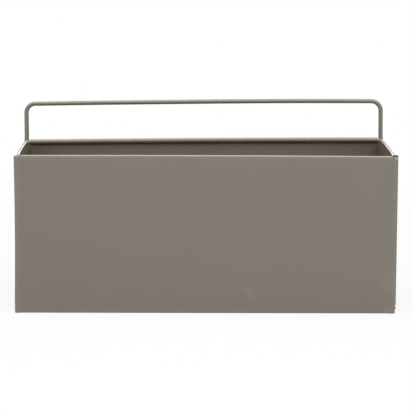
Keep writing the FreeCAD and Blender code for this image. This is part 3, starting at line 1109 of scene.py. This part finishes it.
def operator(operation: str, reflected: bool = False) -> Callable[..., "Signal"]:
    """A method of Signal that adds one Math node. A reflected one has its own value second."""
    def method(self: "Signal", other: "Signal | float" = 0.0) -> "Signal":
        """The Math node's output."""
        return self.tree.maths(operation, *((other, self) if reflected else (self, other)))
    return method


class Signal:
    """A number that changes over a surface. Each operator on it adds one Math node."""

    __add__, __radd__ = operator("ADD"), operator("ADD", True)
    __sub__, __rsub__ = operator("SUBTRACT"), operator("SUBTRACT", True)
    __mul__, __rmul__ = operator("MULTIPLY"), operator("MULTIPLY", True)
    __truediv__, __rtruediv__ = operator("DIVIDE"), operator("DIVIDE", True)
    __lt__, __abs__ = operator("LESS_THAN"), operator("ABSOLUTE")
    root = operator("SQRT")

    def __init__(self, tree: "NodeTree", socket: bpy.types.NodeSocket) -> None:
        """Wraps an output socket of a tree's node."""
        self.tree = tree
        self.socket = socket

    def clipped(self) -> "Signal":
        """self, held between 0 and 1."""
        return self.tree.maths("ADD", self, 0.0, use_clamp=True)

    def rising(self, low: float, high: float) -> "Signal":
        """A smooth rise from 0 where self is low to 1 where it is high."""
        made = self.tree.node(
            "ShaderNodeMapRange", {"interpolation_type": "SMOOTHSTEP", "clamp": True},
            {"Value": self, "From Min": low, "From Max": high})
        return Signal(self.tree, made.outputs["Result"])


class NodeTree:
    """The nodes of one material or world."""

    def __init__(self, owner: bpy.types.Material | bpy.types.World) -> None:
        """Empties the owner's node tree."""
        owner.use_nodes = True
        self.tree = owner.node_tree
        self.tree.nodes.clear()

    def node(self, kind: str, settings: dict[str, object] | None = None,
             sockets: dict[str, object] | None = None) -> bpy.types.Node:
        """Adds a node.

        Args:
            kind: the node's type.
            settings: its own settings, which are set before its sockets.
            sockets: by identifier, a number, colour, Signal or output socket for each input.

        Returns:
            The node.
        """
        made = self.tree.nodes.new(kind)
        for name, value in (settings or {}).items():
            setattr(made, name, value)
        inputs = {socket.identifier: socket for socket in made.inputs}
        for name, value in (sockets or {}).items():
            source = value.socket if isinstance(value, Signal) else value
            if isinstance(source, bpy.types.NodeSocket):
                self.tree.links.new(source, inputs[name])
            else:
                inputs[name].default_value = source
        return made

    def maths(self, operation: str, first: Signal | float, second: Signal | float,
              use_clamp: bool = False) -> Signal:
        """Adds a Math node on two values."""
        made = self.node("ShaderNodeMath", {"operation": operation, "use_clamp": use_clamp},
                         {"Value": first, "Value_001": second})
        return Signal(self, made.outputs[0])

    def mix(self, share: Signal, first: object, second: object) -> bpy.types.NodeSocket:
        """Mixes two colours: first where share is 0, second where it is 1."""
        made = self.node("ShaderNodeMix", {"data_type": "RGBA"},
                         {"Factor_Float": share, "A_Color": first, "B_Color": second})
        return next(o for o in made.outputs if o.identifier == "Result_Color")

    def mix_shaders(self, share: Signal, first: bpy.types.Node,
                    second: bpy.types.Node) -> bpy.types.Node:
        """Mixes two shaders: first where share is 0, second where it is 1."""
        return self.node("ShaderNodeMixShader", {}, {
            "Fac": share, "Shader": first.outputs[0], "Shader_001": second.outputs[0]})

    def noise(self, place: object, size: float, detail: float, distortion: float = 0.0) -> Signal:
        """Clouds of about this size in metres, from -1 to 1 with a mean near 0."""
        made = self.node("ShaderNodeTexNoise", {}, {
            "Vector": place, "Scale": 1.0 / size, "Detail": detail, "Distortion": distortion})
        return (Signal(self, made.outputs[0]) - 0.5) * 2.0

    def attribute(self, name: str) -> Signal:
        """A value that the mesh carries at each vertex."""
        made = self.node("ShaderNodeAttribute", {"attribute_name": name})
        return Signal(self, made.outputs["Fac"])

    def place(self) -> tuple[bpy.types.NodeSocket, Signal, Signal, Signal]:
        """Object coordinates, whole and as X, Y and Z."""
        whole = self.node("ShaderNodeTexCoord").outputs["Object"]
        parts = self.node("ShaderNodeSeparateXYZ", {}, {"Vector": whole}).outputs
        return whole, Signal(self, parts[0]), Signal(self, parts[1]), Signal(self, parts[2])

    def looked_at(self) -> Signal:
        """1 where a surface is seen, mirrored or looked at through another, and 0 elsewhere."""
        outputs = self.node("ShaderNodeLightPath").outputs
        seen, mirrored_ray, through = (Signal(self, outputs[ray]) for ray in (
            "Is Camera Ray", "Is Glossy Ray", "Is Transmission Ray"))
        return (seen + mirrored_ray + through).clipped()


# ---- finishes ----------------------------------------------------------------------------


def tinted(colour: Colour, factor: float | Colour = 1.0) -> tuple[float, float, float, float]:
    """The colour times a factor, or one for each channel, with the full alpha of a socket."""
    return (*(float(channel) for channel in np.multiply(colour, factor)), 1.0)


@dataclass(frozen=True)
class ScratchAndHighlight:
    """A thin pale line on the front face: a scratch, and in one place a painted highlight."""

    start: Pair  # its two ends, as X and Z
    end: Pair
    width: float  # width of the pale line
    strength: float  # how much of the pale colour shows in its middle
    core: float = 0.2  # share of the width in which it shows in full
    fade_in: Pair = (0.0, 0.25)  # shares of its length in which it starts
    fade_out: Pair = (0.7, 1.0)  # and ends

    def mask(self, x: Signal, z: Signal, wobble: Signal) -> Signal:
        """How much of the scratch shows at a point.

        It falls off with the distance from the line through both ends, and with the share of its
        length at its ends. The wobble makes the line uneven.
        """
        run, rise = self.end[0] - self.start[0], self.end[1] - self.start[1]
        length = math.hypot(run, rise)
        across, up = x - self.start[0], z - self.start[1]
        share = (across * (run / length) + up * (rise / length)) / length
        beside = across * (rise / length) - up * (run / length)
        line = 1.0 - abs(beside + wobble * self.width).rising(self.core * self.width, self.width)
        return line * (share.rising(*self.fade_in)
                       * (1.0 - share.rising(*self.fade_out))) * self.strength


@dataclass(frozen=True)
class SmudgeAndHighlight:
    """A soft pale patch on the front face: a rubbed smudge, and in two places a painted highlight.
    """

    middle: Pair  # its middle, as X and Z
    radius: float  # how far it reaches
    strength: float  # how much of it shows in its middle
    waver: float = 0.6  # how uneven its outline is

    def mask(self, x: Signal, z: Signal, wobble: Signal) -> Signal:
        """How much of the patch shows at a point, less with the distance from its middle."""
        across, up = x - self.middle[0], z - self.middle[1]
        distance = (across * across + up * up) / self.radius ** 2
        return (1.0 - (distance + wobble * self.waver).rising(0.0, 1.0)) * self.strength


@dataclass(frozen=True)
class PowderCoat:
    """A satin powder coat, baked on sheet or rod."""

    name: str  # name of the material
    colour: Colour
    wear_and_highlight_tone: Colour = (1.34, 1.36, 1.34)  # how many times lighter worn edges and bends are: wear, and a painted highlight where they catch light
    marked_tone: float = 1.7  # how many times lighter a mark is
    fold_shade_tone: float = 0.2  # tone of the painted shade inside closed folds
    thin: Colour = (0.52, 0.45, 0.38)  # tone of the painted shade in inside corners, for each channel
    drift: float = 0.03  # share of the colour that it drifts in clouds
    cloud: float = 90 * MM  # size of those clouds
    patch: float = 14 * MM  # size of the smaller patches in them
    patch_share: float = 0.4  # how strong those are, beside the clouds
    grain: float = 0.02  # share that it differs from grain to grain
    roughness: float = 0.24  # mean roughness
    roughness_range: float = 0.06  # how far it strays from that
    polish: float = 0.08  # how much smoother a worn or marked place is
    ior: float = 1.42  # index of refraction of the coat
    peel: float = 1.7 * MM  # size of the slow orange-peel waves of its surface
    peel_height: float = 0.004 * MM
    peel_warp: float = 0.3  # how much they are distorted
    speck: float = 0.35 * MM  # size of its fine grain
    speck_height: float = 0.0005 * MM
    wear_and_highlight: float = 0.5  # how much worn and painted highlight tone shows on raw edges and bends
    edge_share: float = 0.8  # how much of it a raw edge gets,
    bend_share: float = 0.9  # and a bend, where it is partly wear and partly a painted highlight
    least_wear_and_highlight: float = 0.35  # share of that where the wear and highlight break off
    break_size: float = 4 * MM  # size of the breaks in it
    break_range: Pair = (-0.35, 0.45)  # noise at which it is least, and full
    fold_shade_share: float = 0.75  # how much of the painted shade tone shows inside closed folds
    corner_shade_share: float = 0.75  # how much of the painted shade tone shows in inside corners
    marks: tuple[ScratchAndHighlight | SmudgeAndHighlight, ...] = ()  # marks on the front face: scratches and smudges, and a few painted highlights
    mark_waver: float = 2.5 * MM  # size of the unevenness of their outlines
    front_y: float = 0.0  # the front face lies in front of this Y

    def material(self) -> bpy.types.Material:
        """Builds the material.

        The tone is 1 plus clouds, patches and grain. Worn places and marks turn to lighter colours:
        wear and scratches, and painted highlights on raw edges, bends and a few spots of the front.
        Inside corners and closed folds turn darker, as painted shade. The roughness is its mean
        plus patches and grain, less the polish. The bump is the peel plus the grain, in metres.

        Returns:
            The material.
        """
        made = bpy.data.materials.new(self.name)
        tree = NodeTree(made)
        place, x, y, z = tree.place()
        clouds = tree.noise(place, self.cloud, CLOUDY)
        patches = tree.noise(place, self.patch, CLOUDY)
        grain = tree.noise(place, self.speck, PLAIN)
        peel = tree.noise(place, self.peel, PLAIN, self.peel_warp)
        breaks = tree.noise(place, self.break_size, BROKEN).rising(*self.break_range)

        tone = (clouds * self.drift + patches * (self.patch_share * self.drift)
                + grain * self.grain)
        span = 2 * (self.drift + self.grain)
        # raw edges and bends turn lighter: wear, and a painted highlight where they catch light
        edges = tree.attribute(RAW_EDGE) * self.edge_share + tree.attribute(BENT) * self.bend_share
        unbroken = self.least_wear_and_highlight + breaks * (1 - self.least_wear_and_highlight)
        worn_and_lit = (edges * unbroken).clipped() * self.wear_and_highlight
        marked = self.marked(tree, x, y, z, place).clipped()
        colour = tree.mix((tone / span + 0.5).clipped(), tinted(self.colour, 1 - span / 2),
                          tinted(self.colour, 1 + span / 2))
        # inside corners and closed folds are darkened as painted shade
        for share, factor in ((worn_and_lit, self.wear_and_highlight_tone), (marked, self.marked_tone),
                              (tree.attribute(PAINTED_CORNER_SHADE) * self.corner_shade_share, self.thin),
                              (tree.attribute(PAINTED_FOLD_SHADE) * self.fold_shade_share, self.fold_shade_tone)):
            colour = tree.mix(share, colour, tinted(self.colour, factor))

        stray = 0.5 * self.roughness_range
        rough = self.roughness + patches * stray + grain * stray - (worn_and_lit + marked) * self.polish
        bump = tree.node("ShaderNodeBump", {}, {
            "Strength": 1.0, "Distance": 1.0,
            "Height": peel * self.peel_height + grain * self.speck_height})
        shader = tree.node("ShaderNodeBsdfPrincipled", {}, {
            "Base Color": colour, "Roughness": rough, "IOR": self.ior, "Normal": bump.outputs[0]})
        tree.node("ShaderNodeOutputMaterial", {}, {"Surface": shader.outputs[0]})
        return made

    def marked(self, tree: NodeTree, x: Signal, y: Signal, z: Signal, place: object) -> Signal:
        """How much of the marks shows at a point. Marks lie only in front of front_y."""
        total = x * 0.0
        for mark in self.marks:
            total = total + mark.mask(x, z, tree.noise(place, self.mark_waver, CLOUDY))
        return total * (y < self.front_y)


# ---- studio ------------------------------------------------------------------------------


@dataclass(frozen=True)
class Lamp:
    """A soft rectangular lamp that points at a place and isn't seen itself."""

    name: str
    at: Triple  # where it hangs
    aim: Triple  # where it points
    size: Pair  # its two sides
    power: float  # in watts
    colour: Colour = (1.0, 1.0, 1.0)

    def hang(self) -> None:
        """Makes the lamp and turns it towards its aim."""
        light = bpy.data.lights.new(self.name, "AREA")
        light.shape = "RECTANGLE"
        light.size, light.size_y = self.size
        light.energy = self.power
        light.color = self.colour
        made = linked(self.name, light)
        made.location = self.at
        turned = (Vector(self.aim) - Vector(self.at)).to_track_quat("-Z", "Y")
        made.rotation_euler = turned.to_euler()
        made.visible_camera = False


@dataclass(frozen=True)
class Studio:
    """A white room with a pale floor and soft lamps."""

    lamps: tuple[Lamp, ...]
    white: Colour = (1.0, 1.0, 1.0)
    ambient: float = 0.22  # light that comes evenly from all round
    floor_size: float = 14.0  # side of the floor
    floor_drop: float = 0.2 * MM  # how far it lies under the resting surface
    floor_tone: Colour = (0.40, 0.44, 0.50)  # colour of the light that it throws back up
    shadow_tone: float = 0.60  # tone of the part of it that takes shadows
    shadow_share: float = 0.13  # how much of its look that part has near the object
    shadow_reach: Pair = (0.35, 0.9)  # where that starts to fade and has gone

    def build(self) -> None:
        """Sets the colour management, and makes the world, the floor and the lamps."""
        bpy.context.scene.view_settings.view_transform = "Standard"
        self.world()
        self.floor()
        for lamp in self.lamps:
            lamp.hang()

    def world(self) -> None:
        """White where it is seen or mirrored, and a plain level of light for everything else."""
        world = bpy.data.worlds.new("studio")
        bpy.context.scene.world = world
        tree = NodeTree(world)
        lit, seen = (tree.node("ShaderNodeBackground", {},
                               {"Color": tinted(self.white), "Strength": strength})
                     for strength in (self.ambient, 1.0))
        mixed = tree.mix_shaders(tree.looked_at(), lit, seen)
        tree.node("ShaderNodeOutputWorld", {}, {"Surface": mixed.outputs[0]})

    def floor(self) -> None:
        """A level floor. It is seen as white, dimmed near the object by what shades it."""
        half, z = self.floor_size / 2, -self.floor_drop
        corners = np.array([(-half, -half, z), (half, -half, z), (half, half, z), (-half, half, z)])
        floor = Surface(corners, [np.array([[0, 1, 2, 3]])]).make("studio_floor")
        made = bpy.data.materials.new("floor_paint")
        tree = NodeTree(made)
        _, x, y, _ = tree.place()
        share = (1.0 - (x * x + y * y).root().rising(*self.shadow_reach)) * self.shadow_share
        shaded, plain = (tree.node("ShaderNodeBsdfDiffuse", {}, {"Color": colour}) for colour in (
            tinted(self.white, self.shadow_tone), tinted(self.floor_tone)))
        white = tree.node("ShaderNodeEmission", {}, {"Strength": 1.0})
        mixed = tree.mix_shaders(tree.looked_at(), plain, tree.mix_shaders(share, white, shaded))
        tree.node("ShaderNodeOutputMaterial", {}, {"Surface": mixed.outputs[0]})
        floor.data.materials.append(made)
        floor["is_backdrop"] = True


@dataclass(frozen=True)
class StudioCamera:
    """The camera, at the photograph's place and angle."""

    at: Triple = (-36.9 * MM, -2134.4 * MM, 420.3 * MM)
    yaw: float = -1.024  # degrees that it is turned left
    pitch: float = 8.761  # degrees that it looks down
    roll: float = 0.326  # degrees that it leans
    focal_pixels: float = 2225.7  # focal length, in pixels of a picture of this width:
    image_pixels: int = 412
    sensor: float = 36.0  # width of its sensor, in millimetres

    def place(self) -> None:
        """Makes the camera and hands it to the scene.

        The view direction is +Y turned down by the pitch and left by the yaw. The camera's right
        and up are then turned about it by the roll.
        """
        yaw, pitch, roll = (math.radians(a) for a in (self.yaw, self.pitch, self.roll))
        ahead = Vector((-math.sin(yaw) * math.cos(pitch), math.cos(yaw) * math.cos(pitch),
                        -math.sin(pitch)))
        level = Vector((math.cos(yaw), math.sin(yaw), 0.0))
        top = level.cross(ahead)
        right = math.cos(roll) * level + math.sin(roll) * top
        up = math.cos(roll) * top - math.sin(roll) * level
        lens = bpy.data.cameras.new("camera")
        lens.sensor_width = self.sensor
        lens.lens = self.focal_pixels * self.sensor / self.image_pixels
        made = linked("camera", lens)
        turn = Matrix((right, up, -ahead)).transposed().to_4x4()
        made.matrix_world = Matrix.Translation(self.at) @ turn
        bpy.context.scene.camera = made


# ---- the whole planter -------------------------------------------------------------------

PANEL_COLOUR: Colour = (0.2055, 0.179, 0.1485)
HANGER_COLOUR: Colour = (0.222, 0.202, 0.160)

FRONT_DENTS = (
    Dent(171.5 * MM, 33.0 * MM, 5.0 * MM, 24.0 * MM, 0.22 * MM, lean=-0.12),
    Dent(-171.0 * MM, 9.0 * MM, 6.0 * MM, 5.0 * MM, 0.10 * MM),
    Dent(-100.0 * MM, 30.0 * MM, 26.0 * MM, 18.0 * MM, 0.10 * MM),
)

FRONT_MARKS = (
    ScratchAndHighlight((35.6 * MM, 28.1 * MM), (47.0 * MM, 11.8 * MM), width=1.5 * MM, strength=0.21),
    ScratchAndHighlight((39.6 * MM, 27.4 * MM), (48.4 * MM, 14.6 * MM), width=1.3 * MM, strength=0.09),
    # painted highlight: the rounded top of the right seam's front lip, where it catches light
    ScratchAndHighlight((176.3 * MM, 147.2 * MM), (180.6 * MM, 147.9 * MM), width=1.0 * MM, strength=0.8),
    SmudgeAndHighlight((-118.9 * MM, 108.1 * MM), radius=7.0 * MM, strength=0.05),
    SmudgeAndHighlight((-96.8 * MM, 21.5 * MM), radius=9.0 * MM, strength=0.05),
    # painted highlights: a lighter patch where the dent beside the right seam catches light, and a
    # glint at the bottom right corner
    SmudgeAndHighlight((174.0 * MM, 30.0 * MM), radius=16.0 * MM, strength=0.11),
    SmudgeAndHighlight((173.0 * MM, 3.5 * MM), radius=5.0 * MM, strength=0.14),
)

LAMPS = (
    Lamp("overhead", at=(0.05, -0.75, 1.7), aim=(0.02, -0.5, 0.1), size=(1.8, 3.6), power=84.0,
         colour=(0.985, 0.965, 0.955)),
    Lamp("backdrop", at=(0.035, 3.0, 0.35), aim=(0.0, 0.0, 0.15), size=(0.42, 0.7), power=2.6),
)


def stand_for(piece: SheetPiece | HangerRod, finish: bpy.types.Material) -> None:
    """Makes a piece, twists it with the box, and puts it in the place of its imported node.

    Args:
        piece: the piece. Its object has the node's name with an ending.
        finish: its material.
    """
    surface = piece.surface()
    surface = replace(surface, points=Racking().applied(surface.points, piece.sizes))
    made = surface.make(f"{piece.name}_skin")
    made.data.materials.append(finish)
    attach(made, BODY)
    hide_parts(piece.name)
    faces = sum(len(f) * (f.shape[1] - 2) for f in surface.faces)
    LOG.info("%s: %d triangles", made.name, faces)


def write_sizes() -> None:
    """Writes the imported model's box and the visual model's box, as plain lists."""
    boxes = {"cad": CAD_BOX, "visual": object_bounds()}
    plain = {key: [list(corner) for corner in box] for key, box in boxes.items()}
    for key, (low, high) in plain.items():
        LOG.info("%s box: %s to %s", key, np.round(low, 5), np.round(high, 5))


def main() -> None:
    """Builds the studio and the planter, piece by piece."""
    logging.basicConfig(level=logging.INFO, format="%(name)s %(message)s")
    Studio(LAMPS).build()
    StudioCamera().place()

    sizes = Sizes.from_frame()
    panel_coat = PowderCoat("panel_coat", PANEL_COLOUR).material()
    front_coat = PowderCoat("front_coat", PANEL_COLOUR, marks=FRONT_MARKS,
                            front_y=sizes.front + MARK_DEPTH).material()
    hanger_coat = PowderCoat("hanger_coat", HANGER_COLOUR, wear_and_highlight=0.25, ior=1.33,
                             grain=0.01, roughness=0.32, peel_height=0.0015 * MM).material()

    stand_for(FrontPanel("front_panel", sizes, dents=FRONT_DENTS), front_coat)
    stand_for(SidePanel("left_side_panel", sizes, Waviness(phase=1.3), Side.LEFT, bow=LEFT_BOW),
              panel_coat)
    stand_for(SidePanel("right_side_panel", sizes, Waviness(phase=2.9), bow=RIGHT_BOW, flare=9.0),
              panel_coat)
    stand_for(BackPanel("back_panel", sizes, Waviness(phase=4.1)), panel_coat)
    stand_for(BottomPan("bottom_pan", sizes), panel_coat)
    stand_for(HangerRod("hanger_rod", sizes), hanger_coat)
    write_sizes()


if __name__ == "__main__":
    main()
